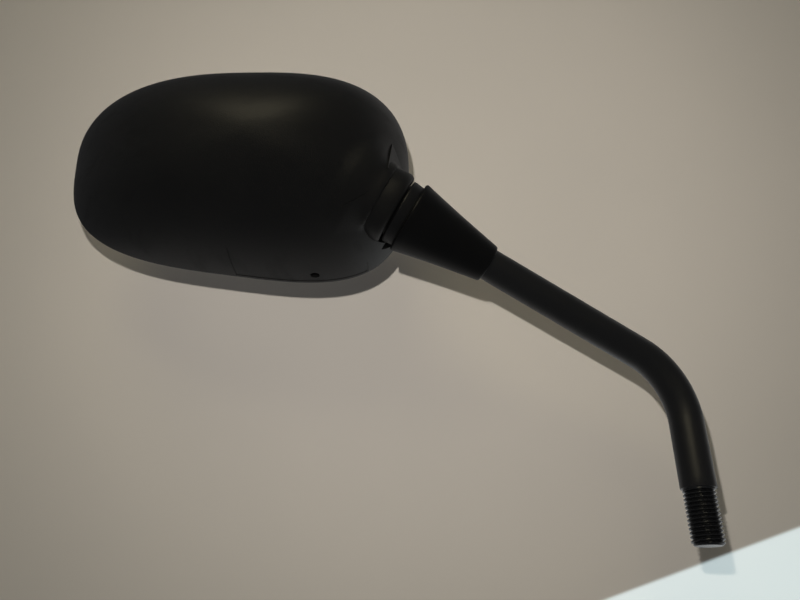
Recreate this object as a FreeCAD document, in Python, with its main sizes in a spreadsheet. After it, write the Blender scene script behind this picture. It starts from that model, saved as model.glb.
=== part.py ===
import FreeCAD, Part
import math
import os
import Sketcher
from FreeCAD import Placement, Rotation, Vector

# A right-hand handlebar mirror. The row frame has its origin where the stem's thread meets the bar: +Z up along the
# thread, the glass facing -Y and the head out towards +X. Millimetres and degrees.

SIZES = {
    # stem bar and thread
    "rod_diameter": 11.0,
    "lower_length": 37.7,
    "bend_radius": 25.0,
    "bend_angle": 65.3,
    "bend_azimuth": 16.7,
    "ball_distance": 119.5,
    "thread_diameter": 9.9,
    "thread_root": 8.5,
    "thread_pitch": 1.25,
    "thread_crest": 0.35,
    "thread_length": 17.0,
    "thread_chamfer": 0.8,
    "spigot_diameter": 8.0,
    "spigot_shoulder": 15.5,
    # ball joint
    "ball_diameter": 18.0,
    "ball_pin_diameter": 3.0,
    "pin_wall": 0.6,
    "pin_slot": 0.5,
    "joint_gap": 0.1,
    "fit_gap": 0.02,
    "liner_wall": 1.3,
    "front_liner_start": 2.0,
    "front_liner_length": 5.0,
    "back_liner_start": 3.5,
    "back_liner_length": 4.7,
    # collar, retainer and spring pack, all on the joint's axis
    "collar_diameter": 25.5,
    "collar_end": 8.2,
    "collar_length": 7.2,
    "collar_round": 1.4,
    "neck_root_diameter": 27.0,
    "neck_deep_diameter": 33.0,
    "housing_bore": 22.0,
    "housing_length": 31.7,
    "seal_depth": 1.6,
    "seal_width": 0.9,
    "seal_inset": 0.65,
    "retainer_neck_diameter": 18.6,
    "retainer_neck": 0.7,
    "retainer_nose_diameter": 21.2,
    "retainer_nose": 3.9,
    "retainer_round": 0.5,
    "retainer_opening": 15.2,
    "retainer_grip": 5.2,
    "retainer_notch": 1.6,
    "retainer_notch_depth": 1.0,
    "cup_start": 3.5,
    "cup_floor": 2.0,
    "cup_hole": 7.0,
    "spring_outer": 21.0,
    "spring_inner": 10.4,
    "spring_thickness": 1.0,
    "spring_cone": 0.45,
    "washer_thickness": 1.0,
    "plug_thickness": 5.0,
    "plug_socket": 10.0,
    "plug_socket_depth": 3.6,
    # sleeve over the neck
    "sleeve_gap": 4.2,
    "sleeve_length": 32.1,
    "sleeve_mouth": 25.2,
    "sleeve_tip": 13.0,
    "sleeve_wall": 1.3,
    "sleeve_lip": 0.5,
    "sleeve_clearance": 2.3,
    "sleeve_cavity": 17.6,
    "bush_length": 6.0,
    "clip_thickness": 1.0,
    "clip_width": 2.8,
    "clip_groove": 0.35,
    "clip_opening": 3.0,
    "ring_thickness": 1.6,
    "ring_offset": 5.0,
    # head: outline and dome of the shell
    "head_half_length": 61.2,
    "head_half_height": 37.1,
    "head_depth": 42.5,
    "head_taper": 0.114,
    "outline_power_top": 2.76,
    "outline_power_bottom": 3.19,
    "dome_power": 1.96,
    "dome_start": 0.28,
    "apex_shift_x": 12.5,
    "apex_shift_y": 1.0,
    "shell_wall": 2.4,
    "head_tilt": 17.25,
    "head_roll": 2.55,
    "ball_place_x": 50.9,
    "ball_place_y": -11.1,
    "ball_place_z": 18.25,
    # head: glass pack
    "glass_radius": 1200.0,
    "glass_thickness": 2.0,
    "glass_recess": 0.5,
    "foam_thickness": 0.8,
    "gasket_side": 1.2,
    "gasket_lip": 1.8,
    "gasket_front": 0.2,
    "gasket_depth": 3.6,
    "foam_inset": 6.0,
    "carrier_inset": 7.5,
    "carrier_back": 6.4,
    "carrier_relief": 0.6,
    # head: posts, screws, drain and panel
    "post_diameter": 7.0,
    "post_far_x": -34.0,
    "post_far_y": 14.0,
    "post_near_x": 18.0,
    "post_near_y": 19.0,
    "screw_diameter": 2.9,
    "screw_head_diameter": 5.6,
    "screw_head_height": 1.5,
    "screw_length": 10.0,
    "screw_slot": 0.8,
    "screw_sink": 0.15,
    "pilot_depth": 11.0,
    "drain_diameter": 3.3,
    "drain_x": 30.8,
    "drain_z": 5.6,
    "panel_left": 2.3,
    "panel_right": 49.0,
    "panel_bottom": 1.5,
    "panel_top": 17.3,
    "panel_depth": 0.35,
}

OUTLINE_POINTS = 40
DOME_STEPS = (0.0, 0.12, 0.25, 0.4, 0.55, 0.68, 0.79, 0.88, 0.945, 0.98, 0.996)
SPRING_COUNT = 3
NOTCH_COUNT = 4

doc = FreeCAD.newDocument("bike_mirror")
sheet = doc.addObject("Spreadsheet::Sheet", "sheet")
for row, (alias, number) in enumerate(SIZES.items(), 1):
    sheet.set(f"A{row}", alias)
    sheet.set(f"B{row}", str(number))
    sheet.setAlias(f"B{row}", alias)
doc.recompute()

subparts = []


def size(alias):
    return float(sheet.get(alias))


def value(expression):
    """The number an expression on the sheet comes to."""
    return float(sheet.evalExpression(expression))


def keep(item, name, placement=None):
    """Marks an object as a finished sub-part, under its own name and place."""
    item.Label = name
    if placement is not None:
        item.Placement = placement
    subparts.append(item)
    return item


# ---- small builders ---------------------------------------------------------------------------------------------


def primitive(kind, name, **bound):
    """A Part primitive whose sizes, and distance along its own Z, are bound to the sheet."""
    item = doc.addObject("Part::" + kind, name)
    for prop, expression in bound.items():
        item.setExpression("Placement.Base.z" if prop == "z" else prop, expression)
    return item


def cylinder(name, radius, height, z="0"):
    return primitive("Cylinder", name, Radius=radius, Height=height, z=z)


def sphere(name, radius):
    return primitive("Sphere", name, Radius=radius)


def cross_cylinder(name, radius, half_length):
    """A cylinder along X, centred on the joint's centre."""
    item = primitive("Cylinder", name, Radius=radius, Height=f"2 * ({half_length})")
    item.Placement = Placement(Vector(-value(half_length), 0, 0), Rotation(Vector(0, 1, 0), 90))
    item.setExpression("Placement.Base.x", f"-({half_length})")
    return item


def cut(name, base, tool):
    item = doc.addObject("Part::Cut", name)
    item.Base = base
    item.Tool = tool
    return item


def common(name, first, second):
    item = doc.addObject("Part::Common", name)
    item.Base = first
    item.Tool = second
    return item


def fuse(name, *pieces):
    item = doc.addObject("Part::MultiFuse", name)
    item.Shapes = list(pieces)
    return item


def origin_plane(body, role):
    return next(f for f in body.Origin.OriginFeatures if f.Role == role)


def new_sketch(body, role, name):
    sketch = body.newObject("Sketcher::SketchObject", name)
    sketch.AttachmentSupport = [(origin_plane(body, role), "")]
    sketch.MapMode = "FlatFace"
    return sketch


def bind(sketch, constraint, expression):
    """Adds a constraint and binds its number to the sheet."""
    index = sketch.addConstraint(constraint)
    sketch.setExpression(f"Constraints[{index}]", expression)


def outline(sketch, corners):
    """A closed outline of straight edges. Each corner is two expressions; the word zero puts it on that axis."""
    points = [
        Vector(*(0.0 if text == "zero" else value(text) for text in corner), 0) for corner in corners
    ]
    count = len(points)
    for i, point in enumerate(points):
        sketch.addGeometry(Part.LineSegment(point, points[(i + 1) % count]))
    for i in range(count):
        sketch.addConstraint(Sketcher.Constraint("Coincident", i, 2, (i + 1) % count, 1))
    for i, (across, along) in enumerate(corners):
        if across == "zero":
            sketch.addConstraint(Sketcher.Constraint("PointOnObject", i, 1, -2))
        else:
            bind(sketch, Sketcher.Constraint("DistanceX", -1, 1, i, 1, points[i].x), across)
        if along == "zero":
            sketch.addConstraint(Sketcher.Constraint("PointOnObject", i, 1, -1))
        else:
            bind(sketch, Sketcher.Constraint("DistanceY", -1, 1, i, 1, points[i].y), along)


def turned(name, corners):
    """A Body turned about its own Z from an outline of (radius, height) corners."""
    body = doc.addObject("PartDesign::Body", name)
    sketch = new_sketch(body, "XZ_Plane", name + "_profile")
    outline(sketch, corners)
    revolution = body.newObject("PartDesign::Revolution", name + "_turn")
    revolution.Profile = sketch
    revolution.ReferenceAxis = (sketch, ["V_Axis"])
    revolution.Angle = 360
    body.Tip = revolution
    return body


# ---- places ------------------------------------------------------------------------------------------------------

azimuth = Rotation(Vector(0, 0, 1), size("bend_azimuth"))
bend = math.radians(size("bend_angle"))
arm = azimuth.multVec(Vector(math.sin(bend), 0, math.cos(bend)))
bend_corner = Vector(0, 0, size("lower_length"))
ball_centre = bend_corner + arm * size("ball_distance")

# Joint frame: its Z runs from the ball's centre back towards the bend, its X is level, across the arm.
level = Vector(0, 0, 1).cross(-arm).normalize()
joint_place = Placement(ball_centre, Rotation(level, Vector(), -arm, "ZXY"))

# Head frame: its XY is the rim's plane seen from behind, X towards the stem, and its Z is the shell's depth.
seen_from_behind = Rotation(Vector(-1, 0, 0), Vector(0, 0, 1), Vector(0, 1, 0))
head_turn = (
    Rotation(Vector(1, 0, 0), -size("head_tilt"))
    .multiply(seen_from_behind)
    .multiply(Rotation(Vector(0, 0, 1), -size("head_roll")))
)
ball_in_head = Vector(size("ball_place_x"), size("ball_place_y"), size("ball_place_z"))
head_place = Placement(ball_centre - head_turn.multVec(ball_in_head), head_turn)
joint_in_head = head_place.inverse().multiply(joint_place)

print("ball centre", ball_centre)
print("head place", head_place)

# ---- stem rod ----------------------------------------------------------------------------------------------------

rod_body = doc.addObject("PartDesign::Body", "rod_bar")
bar_section = new_sketch(rod_body, "XY_Plane", "bar_section")
bar_section.addGeometry(Part.Circle(Vector(), Vector(0, 0, 1), size("rod_diameter") / 2))
bar_section.addConstraint(Sketcher.Constraint("Coincident", 0, 3, -1, 1))
bind(
    bar_section,
    Sketcher.Constraint("Radius", 0, size("rod_diameter") / 2),
    "sheet.rod_diameter / 2",
)

HALF_TURN = "tan(sheet.bend_angle * 1deg / 2)"
STRAIGHT = f"sheet.lower_length - sheet.bend_radius * {HALF_TURN}"
BAR_REACH = "(sheet.ball_distance - sheet.spigot_shoulder)"
END_X = f"{BAR_REACH} * sin(sheet.bend_angle * 1deg)"
END_Z = f"sheet.lower_length + {BAR_REACH} * cos(sheet.bend_angle * 1deg)"

bend_radius = size("bend_radius")
straight_end = Vector(0, value(STRAIGHT), 0)
bend_centre = Vector(bend_radius, value(STRAIGHT), 0)
bend_end = bend_centre + Vector(-math.cos(bend), math.sin(bend), 0) * bend_radius
bar_end = Vector(value(END_X), value(END_Z), 0)

bar_path = new_sketch(rod_body, "XZ_Plane", "bar_path")
bar_path.addGeometry(Part.LineSegment(Vector(), straight_end))
bend_circle = Part.Circle(bend_centre, Vector(0, 0, 1), bend_radius)
bar_path.addGeometry(Part.ArcOfCircle(bend_circle, math.pi - bend, math.pi))
bar_path.addGeometry(Part.LineSegment(bend_end, bar_end))
bar_path.addConstraint(Sketcher.Constraint("Coincident", 0, 1, -1, 1))
bar_path.addConstraint(Sketcher.Constraint("PointOnObject", 0, 2, -2))
bar_path.addConstraint(Sketcher.Constraint("Tangent", 0, 2, 1, 2))
bar_path.addConstraint(Sketcher.Constraint("Tangent", 1, 1, 2, 1))
bind(bar_path, Sketcher.Constraint("DistanceY", -1, 1, 0, 2, straight_end.y), STRAIGHT)
bind(bar_path, Sketcher.Constraint("Radius", 1, bend_radius), "sheet.bend_radius")
bind(bar_path, Sketcher.Constraint("DistanceX", -1, 1, 2, 2, bar_end.x), END_X)
bind(bar_path, Sketcher.Constraint("DistanceY", -1, 1, 2, 2, bar_end.y), END_Z)

bar_pipe = rod_body.newObject("PartDesign::AdditivePipe", "bar_pipe")
bar_pipe.Profile = bar_section
bar_pipe.Spine = bar_path
rod_body.Tip = bar_pipe
rod_body.Placement = Placement(Vector(), azimuth)

THREAD_RADIUS = "sheet.thread_diameter / 2"
ROOT_RADIUS = "sheet.thread_root / 2"
thread_body = turned(
    "rod_thread",
    [
        ("zero", "zero"),
        (THREAD_RADIUS, "zero"),
        (THREAD_RADIUS, "sheet.thread_chamfer - sheet.thread_length"),
        (f"{THREAD_RADIUS} - sheet.thread_chamfer", "-sheet.thread_length"),
        ("zero", "-sheet.thread_length"),
    ],
)
FIRST_GROOVE = "-sheet.thread_pitch / 2"
groove_sketch = new_sketch(thread_body, "XZ_Plane", "groove_profile")
outline(
    groove_sketch,
    [
        (ROOT_RADIUS, FIRST_GROOVE),
        (
            f"{THREAD_RADIUS} + sheet.fit_gap",
            f"{FIRST_GROOVE} + (sheet.thread_pitch - sheet.thread_crest) / 2",
        ),
        (
            f"{THREAD_RADIUS} + sheet.fit_gap",
            f"{FIRST_GROOVE} - (sheet.thread_pitch - sheet.thread_crest) / 2",
        ),
    ],
)
groove = thread_body.newObject("PartDesign::Groove", "thread_groove")
groove.Profile = groove_sketch
groove.ReferenceAxis = (groove_sketch, ["V_Axis"])
groove.Angle = 360
thread_body.Tip = groove
doc.recompute()
groove_count = int(size("thread_length") / size("thread_pitch"))
groove_rows = thread_body.newObject("PartDesign::LinearPattern", "thread_grooves")
groove_rows.Originals = [groove]
groove_rows.Direction = (groove_sketch, ["V_Axis"])
groove_rows.Reversed = True
groove_rows.setExpression("Length", f"{groove_count - 1} * sheet.thread_pitch")
groove_rows.Occurrences = groove_count
thread_body.Tip = groove_rows

SPIGOT_RADIUS = "sheet.spigot_diameter / 2"
SPIGOT_END = f"sqrt((sheet.ball_diameter / 2)^2 - ({SPIGOT_RADIUS})^2) - 0.2"
spigot = cylinder("spigot", SPIGOT_RADIUS, f"sheet.spigot_shoulder + {SPIGOT_END}", f"-({SPIGOT_END})")
spigot.Placement = joint_place.multiply(Placement(Vector(0, 0, -value(SPIGOT_END)), Rotation()))
spigot.setExpression("Placement.Base.z", None)

PIN_RADIUS = "sheet.ball_pin_diameter / 2"
PIN_HALF = f"sqrt((sheet.ball_diameter / 2)^2 - ({PIN_RADIUS})^2) - 0.1"
pin_hole = cross_cylinder("pin_hole", f"{PIN_RADIUS} + sheet.fit_gap", "sheet.ball_diameter")
rod_pin_hole = cross_cylinder("rod_pin_hole", f"{PIN_RADIUS} + sheet.fit_gap", "sheet.spigot_diameter")

# The clip's groove lies just in front of the bush, which carries the sleeve.
MOUTH = "(sheet.collar_end + sheet.sleeve_gap)"
CAVITY_END = f"({MOUTH} + sheet.sleeve_cavity)"
BUSH_START = f"({CAVITY_END} - sheet.bush_length)"
CLIP_START = f"({BUSH_START} - sheet.clip_thickness)"
ROD_RADIUS = "sheet.rod_diameter / 2"
groove_ring = turned(
    "clip_groove_ring",
    [
        (f"{ROD_RADIUS} - sheet.clip_groove", f"{CLIP_START} - sheet.fit_gap"),
        (f"{ROD_RADIUS} + 1", f"{CLIP_START} - sheet.fit_gap"),
        (f"{ROD_RADIUS} + 1", f"{BUSH_START}"),
        (f"{ROD_RADIUS} - sheet.clip_groove", f"{BUSH_START}"),
    ],
)
doc.recompute()
groove_ring.Placement = joint_place
rod_pin_hole.setExpression("Placement.Base.x", None)
rod_pin_hole.Placement = joint_place.multiply(rod_pin_hole.Placement)
rod_tools = fuse("rod_tools", groove_ring, rod_pin_hole)
rod_blank = fuse("rod_blank", rod_body, thread_body, spigot)
stem_rod = keep(cut("stem_rod", rod_blank, rod_tools), "stem_rod")

# ---- ball and its pin ----------------------------------------------------------------------------------------------

BALL_RADIUS = "sheet.ball_diameter / 2"
ball_bore = cylinder(
    "ball_bore", f"{SPIGOT_RADIUS} + sheet.fit_gap", "2 * sheet.ball_diameter", "-sheet.ball_diameter"
)
ball_tools = fuse("ball_tools", ball_bore, pin_hole)
keep(cut("pivot_ball", sphere("ball_blank", BALL_RADIUS), ball_tools), "pivot_ball", joint_place)

pin_blank = cross_cylinder("pin_blank", PIN_RADIUS, PIN_HALF)
pin_inside = cross_cylinder("pin_inside", f"{PIN_RADIUS} - sheet.pin_wall", "sheet.ball_diameter")
pin_slot = primitive(
    "Box", "pin_slot", Length="2 * sheet.ball_diameter", Width="sheet.pin_slot", Height=PIN_RADIUS
)
pin_slot.setExpression("Placement.Base.x", "-sheet.ball_diameter")
pin_slot.setExpression("Placement.Base.y", "-sheet.pin_slot / 2")
pin_tools = fuse("pin_tools", pin_inside, pin_slot)
keep(cut("ball_roll_pin", pin_blank, pin_tools), "ball_roll_pin", joint_place)

# ---- liners --------------------------------------------------------------------------------------------------------

LINER_INSIDE = f"({BALL_RADIUS} + sheet.joint_gap)"
LINER_OUTSIDE = f"({LINER_INSIDE} + sheet.liner_wall)"
SEAT_RADIUS = f"({LINER_OUTSIDE} + sheet.joint_gap)"


def liner(name, start, length):
    """A slice of a hollow sphere between two heights on the joint's axis."""
    hollow = cut(name + "_hollow", sphere(name + "_out", LINER_OUTSIDE), sphere(name + "_in", LINER_INSIDE))
    slab = cylinder(name + "_slab", "sheet.ball_diameter", length, start)
    return keep(common(name, hollow, slab), name, joint_place)


liner("ball_liner_front", "sheet.front_liner_start", "sheet.front_liner_length")
liner(
    "ball_liner_back",
    "-sheet.back_liner_start - sheet.back_liner_length",
    "sheet.back_liner_length",
)

# ---- retainer ring and its seal --------------------------------------------------------------------------------------

BORE_RADIUS = "sheet.housing_bore / 2"
NECK_RADIUS = "sheet.retainer_neck_diameter / 2"
NOSE_RADIUS = "sheet.retainer_nose_diameter / 2"
NOSE_START = "(sheet.collar_end + sheet.retainer_neck)"
NOSE_END = "(sheet.collar_end + sheet.retainer_nose)"
SEAL_START = "(sheet.collar_end - sheet.seal_depth)"
retainer_blank = turned(
    "retainer_blank",
    [
        ("sheet.retainer_opening / 2", f"{SEAL_START} - sheet.retainer_grip"),
        (f"{BORE_RADIUS} - sheet.fit_gap", f"{SEAL_START} - sheet.retainer_grip"),
        (f"{BORE_RADIUS} - sheet.fit_gap", SEAL_START),
        (NECK_RADIUS, SEAL_START),
        (NECK_RADIUS, NOSE_START),
        (NOSE_RADIUS, NOSE_START),
        (NOSE_RADIUS, f"{NOSE_END} - sheet.retainer_round"),
        (f"{NOSE_RADIUS} - sheet.retainer_round", NOSE_END),
        ("sheet.retainer_opening / 2", NOSE_END),
    ],
)
retainer_cutters = [sphere("retainer_seat", SEAT_RADIUS)]
for i in range(NOTCH_COUNT // 2):
    notch = primitive(
        "Box",
        f"retainer_notch_{i}",
        Length="2 * sheet.collar_diameter",
        Width="sheet.retainer_notch",
        Height="sheet.retainer_notch_depth",
    )
    notch_start = Vector(-size("collar_diameter"), -size("retainer_notch") / 2, 0)
    notch_turn = Rotation(Vector(0, 0, 1), 360 / NOTCH_COUNT * i)
    notch_height = size("collar_end") + size("retainer_nose") - size("retainer_notch_depth")
    notch.Placement = Placement(notch_turn.multVec(notch_start) + Vector(0, 0, notch_height), notch_turn)
    retainer_cutters.append(notch)
retainer_tools = fuse("retainer_tools", *retainer_cutters)
keep(cut("retainer_ring", retainer_blank, retainer_tools), "retainer_ring", joint_place)

seal = turned(
    "collar_seal",
    [
        (f"{NECK_RADIUS} + sheet.fit_gap", SEAL_START),
        (f"{BORE_RADIUS} + sheet.seal_width", SEAL_START),
        (f"{BORE_RADIUS} + sheet.seal_width", "sheet.collar_end - sheet.seal_inset"),
        (f"{NECK_RADIUS} + sheet.fit_gap", "sheet.collar_end - sheet.seal_inset"),
    ],
)
keep(seal, "collar_seal", joint_place)

# ---- pressure cup, springs, washer and plug ----------------------------------------------------------------------------

CUP_BACK = f"(-{SEAT_RADIUS} - sheet.cup_floor)"
cup_blank = turned(
    "cup_blank",
    [
        ("sheet.cup_hole / 2", CUP_BACK),
        (f"{BORE_RADIUS} - sheet.joint_gap", CUP_BACK),
        (f"{BORE_RADIUS} - sheet.joint_gap", "-sheet.cup_start"),
        ("sheet.cup_hole / 2", "-sheet.cup_start"),
    ],
)
keep(cut("pressure_cup", cup_blank, sphere("cup_seat", SEAT_RADIUS)), "pressure_cup", joint_place)

SPRING_STEP = "(sheet.spring_thickness + sheet.spring_cone)"


def disc_spring(index):
    """One conical washer of the stack. Every second one stands the other way up."""
    top = f"{CUP_BACK} - {index} * {SPRING_STEP}"
    low = f"{top} - sheet.spring_cone"
    outer, inner = (top, low) if index % 2 == 0 else (low, top)
    return turned(
        f"disc_spring_{index}",
        [
            ("sheet.spring_inner / 2", inner),
            ("sheet.spring_inner / 2", f"{inner} - sheet.spring_thickness"),
            ("sheet.spring_outer / 2", f"{outer} - sheet.spring_thickness"),
            ("sheet.spring_outer / 2", outer),
        ],
    )


spring_stack = doc.addObject("Part::Compound", "disc_springs")
spring_stack.Links = [disc_spring(i) for i in range(SPRING_COUNT)]
keep(spring_stack, "disc_springs", joint_place)

WASHER_TOP = f"({CUP_BACK} - {SPRING_COUNT} * {SPRING_STEP})"
PLUG_TOP = f"({WASHER_TOP} - sheet.washer_thickness)"
PLUG_END = f"({PLUG_TOP} - sheet.plug_thickness)"
washer = turned(
    "spring_washer",
    [
        ("sheet.spring_inner / 2", PLUG_TOP),
        ("sheet.spring_outer / 2", PLUG_TOP),
        ("sheet.spring_outer / 2", WASHER_TOP),
        ("sheet.spring_inner / 2", WASHER_TOP),
    ],
)
keep(washer, "spring_washer", joint_place)

plug_blank = cylinder("plug_blank", f"{BORE_RADIUS} - sheet.fit_gap", "sheet.plug_thickness", PLUG_END)
plug_socket = primitive(
    "Prism",
    "plug_socket",
    Circumradius="sheet.plug_socket / sqrt(3)",
    Height="sheet.plug_socket_depth",
    z=PLUG_END,
)
plug_socket.Polygon = 6
keep(cut("adjuster_plug", plug_blank, plug_socket), "adjuster_plug", joint_place)

# ---- sleeve, bush, clip and rubber ring over the neck -------------------------------------------------------------------

MOUTH_RADIUS = "sheet.sleeve_mouth / 2"
TIP_RADIUS = "sheet.sleeve_tip / 2"
SLEEVE_END = f"({MOUTH} + sheet.sleeve_length)"
ROD_FIT = f"({ROD_RADIUS} + sheet.fit_gap)"
SLOPE = f"(({MOUTH_RADIUS} - {TIP_RADIUS}) / sheet.sleeve_length)"
CAVITY_END_RADIUS = f"({MOUTH_RADIUS} - sheet.sleeve_wall - {SLOPE} * sheet.sleeve_cavity)"
BUSH_START_RADIUS = f"({CAVITY_END_RADIUS} + {SLOPE} * sheet.bush_length)"
RING_START = f"({CAVITY_END} + sheet.ring_offset)"
RING_SEAT = f"({ROD_RADIUS} + sheet.ring_thickness)"
sleeve = turned(
    "cone_sleeve",
    [
        (f"{MOUTH_RADIUS} - sheet.sleeve_wall", MOUTH),
        (f"{MOUTH_RADIUS} - sheet.sleeve_lip", MOUTH),
        (MOUTH_RADIUS, f"{MOUTH} + sheet.sleeve_lip"),
        (TIP_RADIUS, f"{SLEEVE_END} - sheet.sleeve_lip"),
        (f"{TIP_RADIUS} - sheet.sleeve_lip", SLEEVE_END),
        (ROD_FIT, SLEEVE_END),
        (ROD_FIT, f"{RING_START} + sheet.ring_thickness"),
        (RING_SEAT, f"{RING_START} + sheet.ring_thickness"),
        (RING_SEAT, RING_START),
        (ROD_FIT, RING_START),
        (ROD_FIT, CAVITY_END),
        (CAVITY_END_RADIUS, CAVITY_END),
    ],
)
keep(sleeve, "cone_sleeve", joint_place)

bush = turned(
    "sleeve_bush",
    [
        (ROD_FIT, BUSH_START),
        (f"{BUSH_START_RADIUS} - sheet.fit_gap", BUSH_START),
        (f"{CAVITY_END_RADIUS} - sheet.fit_gap", CAVITY_END),
        (ROD_FIT, CAVITY_END),
    ],
)
keep(bush, "sleeve_bush", joint_place)

CLIP_INSIDE = f"({ROD_RADIUS} - sheet.clip_groove + sheet.fit_gap)"
clip_blank = turned(
    "clip_blank",
    [
        (CLIP_INSIDE, CLIP_START),
        (f"{CLIP_INSIDE} + sheet.clip_width", CLIP_START),
        (f"{CLIP_INSIDE} + sheet.clip_width", f"{BUSH_START} - sheet.fit_gap"),
        (CLIP_INSIDE, f"{BUSH_START} - sheet.fit_gap"),
    ],
)
clip_gap = primitive(
    "Box",
    "clip_gap",
    Length="sheet.rod_diameter + sheet.clip_width",
    Width="sheet.clip_opening",
    Height="3 * sheet.clip_thickness",
    z=f"{CLIP_START} - sheet.clip_thickness",
)
clip_gap.setExpression("Placement.Base.y", "-sheet.clip_opening / 2")
keep(cut("sleeve_clip", clip_blank, clip_gap), "sleeve_clip", joint_place)

RING_HALF = "(sheet.ring_thickness / 2 - sheet.fit_gap)"
o_ring = primitive(
    "Torus",
    "sleeve_o_ring",
    Radius1=f"{ROD_RADIUS} + sheet.ring_thickness / 2",
    Radius2=RING_HALF,
    z=f"{RING_START} + sheet.ring_thickness / 2",
)
doc.recompute()
ring_height = o_ring.Placement.Base.z
o_ring.setExpression("Placement.Base.z", None)
keep(o_ring, "sleeve_o_ring", joint_place.multiply(Placement(Vector(0, 0, ring_height), Rotation())))

# ---- head forms: the shell's outline and dome -----------------------------------------------------------------------------


def dome_scale(share):
    """How wide the dome is at a share of its depth, as a share of its rim."""
    start = size("dome_start")
    power = size("dome_power")
    level_share = start + share * (1 - start)
    return ((1 - level_share**power) / (1 - start**power)) ** (1 / power)


def section(inset, share, height):
    """The dome's cross-section at a share of its depth, as a closed wire at that height, in the head's frame."""
    half_length = size("head_half_length") - inset
    half_height = size("head_half_height") - inset
    scale = dome_scale(share)
    points = []
    for i in range(OUTLINE_POINTS):
        angle = 2 * math.pi * i / OUTLINE_POINTS
        across, up = math.cos(angle), math.sin(angle)
        power = size("outline_power_top") if up > 0 else size("outline_power_bottom")
        reach = (abs(across) ** power + abs(up) ** power) ** (-1 / power)
        widening = 1 + size("head_taper") * across * reach
        points.append(
            Vector(
                half_length * across * reach * scale + size("apex_shift_x") * share,
                half_height * widening * up * reach * scale + size("apex_shift_y") * share,
                height,
            )
        )
    curve = Part.BSplineCurve()
    knots = [i / OUTLINE_POINTS for i in range(OUTLINE_POINTS + 1)]
    curve.interpolate(Points=points, Parameters=knots, PeriodicFlag=True)
    return Part.Wire(curve.toShape())


def dome(inset):
    """The solid under the dome, drawn in from the outer surface by the inset."""
    depth = size("head_depth") - inset
    wires = [section(inset, share, depth * share) for share in DOME_STEPS]
    apex = Part.Vertex(size("apex_shift_x"), size("apex_shift_y"), depth)
    return Part.makeLoft(wires + [apex], True, False)


def prism(inset, low, high):
    """A straight block of the head's outline, as wide as the cavity is where the gasket ends."""
    depth = size("head_depth") - size("shell_wall")
    wire = section(inset, size("gasket_depth") / depth, low)
    return Part.Face(wire).extrude(Vector(0, 0, high - low))


def lens(front):
    """A ball as curved as the glass, with its lowest point at this height over the rim's plane."""
    return Part.makeSphere(size("glass_radius"), Vector(0, 0, front + size("glass_radius")))


def on_axis(radius, start, length):
    """A cylinder on the ball joint's axis, in the head's frame."""
    shape = Part.makeCylinder(radius, length, Vector(0, 0, start))
    shape.Placement = joint_in_head
    return shape


def feature(name, shape):
    item = doc.addObject("Part::Feature", name)
    item.Shape = shape
    return keep(item, name, head_place)


wall = size("shell_wall")
outer_dome = dome(0)
cavity = dome(wall)

# ---- rear shell -------------------------------------------------------------------------------------------------------------

collar_end = size("collar_end")
collar_radius = size("collar_diameter") / 2
bore_radius = size("housing_bore") / 2
housing_start = collar_end - size("housing_length")
neck_start = collar_end - size("collar_length")


def turned_shape(corners):
    """A solid turned about the joint's axis from (radius, height) corners, in the head's frame."""
    points = [Vector(radius, 0, height) for radius, height in corners]
    face = Part.Face(Part.makePolygon(points + [points[0]]))
    shape = face.revolve(Vector(), Vector(0, 0, 1), 360)
    shape.Placement = joint_in_head
    return shape


neck = turned_shape(
    [
        (0, housing_start),
        (size("neck_deep_diameter") / 2, housing_start),
        (size("neck_root_diameter") / 2, neck_start),
        (collar_radius, neck_start),
        (collar_radius, collar_end - size("collar_round")),
        (collar_radius - size("collar_round"), collar_end),
        (0, collar_end),
    ]
)
housing = on_axis(collar_radius, housing_start, size("housing_length"))

post_radius = size("post_diameter") / 2
post_places = [
    Vector(size("post_far_x"), size("post_far_y"), 0),
    Vector(size("post_far_x"), -size("post_far_y"), 0),
    Vector(size("post_near_x"), size("post_near_y"), 0),
    Vector(size("post_near_x"), -size("post_near_y"), 0),
]
carrier_back = size("carrier_back")
up = Vector(0, 0, 1)
posts = [
    Part.makeCylinder(post_radius, size("head_depth"), place + up * carrier_back, up).common(outer_dome)
    for place in post_places
]
pilots = [
    Part.makeCylinder(size("screw_diameter") / 2, size("pilot_depth"), place + up * carrier_back, up)
    for place in post_places
]
seal_room = on_axis(bore_radius + size("seal_width"), collar_end - size("seal_depth"), size("seal_depth") + 1)
bore = on_axis(bore_radius, housing_start - 1, size("housing_length") + size("retainer_nose") + 2)
# The end wall is set back round the sleeve's mouth, so that the head can tilt towards it.
sleeve_room = on_axis(
    (size("sleeve_mouth") / 2) + size("sleeve_clearance"),
    collar_end + size("sleeve_gap") - size("sleeve_clearance"),
    size("sleeve_length"),
)
drain = Part.makeCylinder(
    size("drain_diameter") / 2,
    size("head_half_height"),
    Vector(size("drain_x"), 0, size("drain_z")),
    Vector(0, -1, 0),
)
drain = drain.cut(Part.makeBox(200, 40, 60, Vector(-100, -size("head_half_height") / 2, -10)))
panel_box = Part.makeBox(
    size("panel_right") - size("panel_left"),
    size("head_half_height"),
    size("panel_top") - size("panel_bottom"),
    Vector(size("panel_left"), -size("head_half_height") - 10, size("panel_bottom")),
)
panel = panel_box.common(outer_dome.cut(dome(size("panel_depth"))))

shell = outer_dome.fuse(neck)
shell = shell.cut(cavity.cut(housing))
shell = shell.fuse(posts)
shell = shell.cut([bore, seal_room, sleeve_room, drain, panel] + pilots)
feature("rear_shell", shell)

# ---- glass pack ---------------------------------------------------------------------------------------------------------------

glass_inset = wall + size("gasket_side")
glass_front = size("glass_recess")
glass_back = glass_front + size("glass_thickness")
foam_back = glass_back + size("foam_thickness")
pack_top = carrier_back + 5

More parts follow.
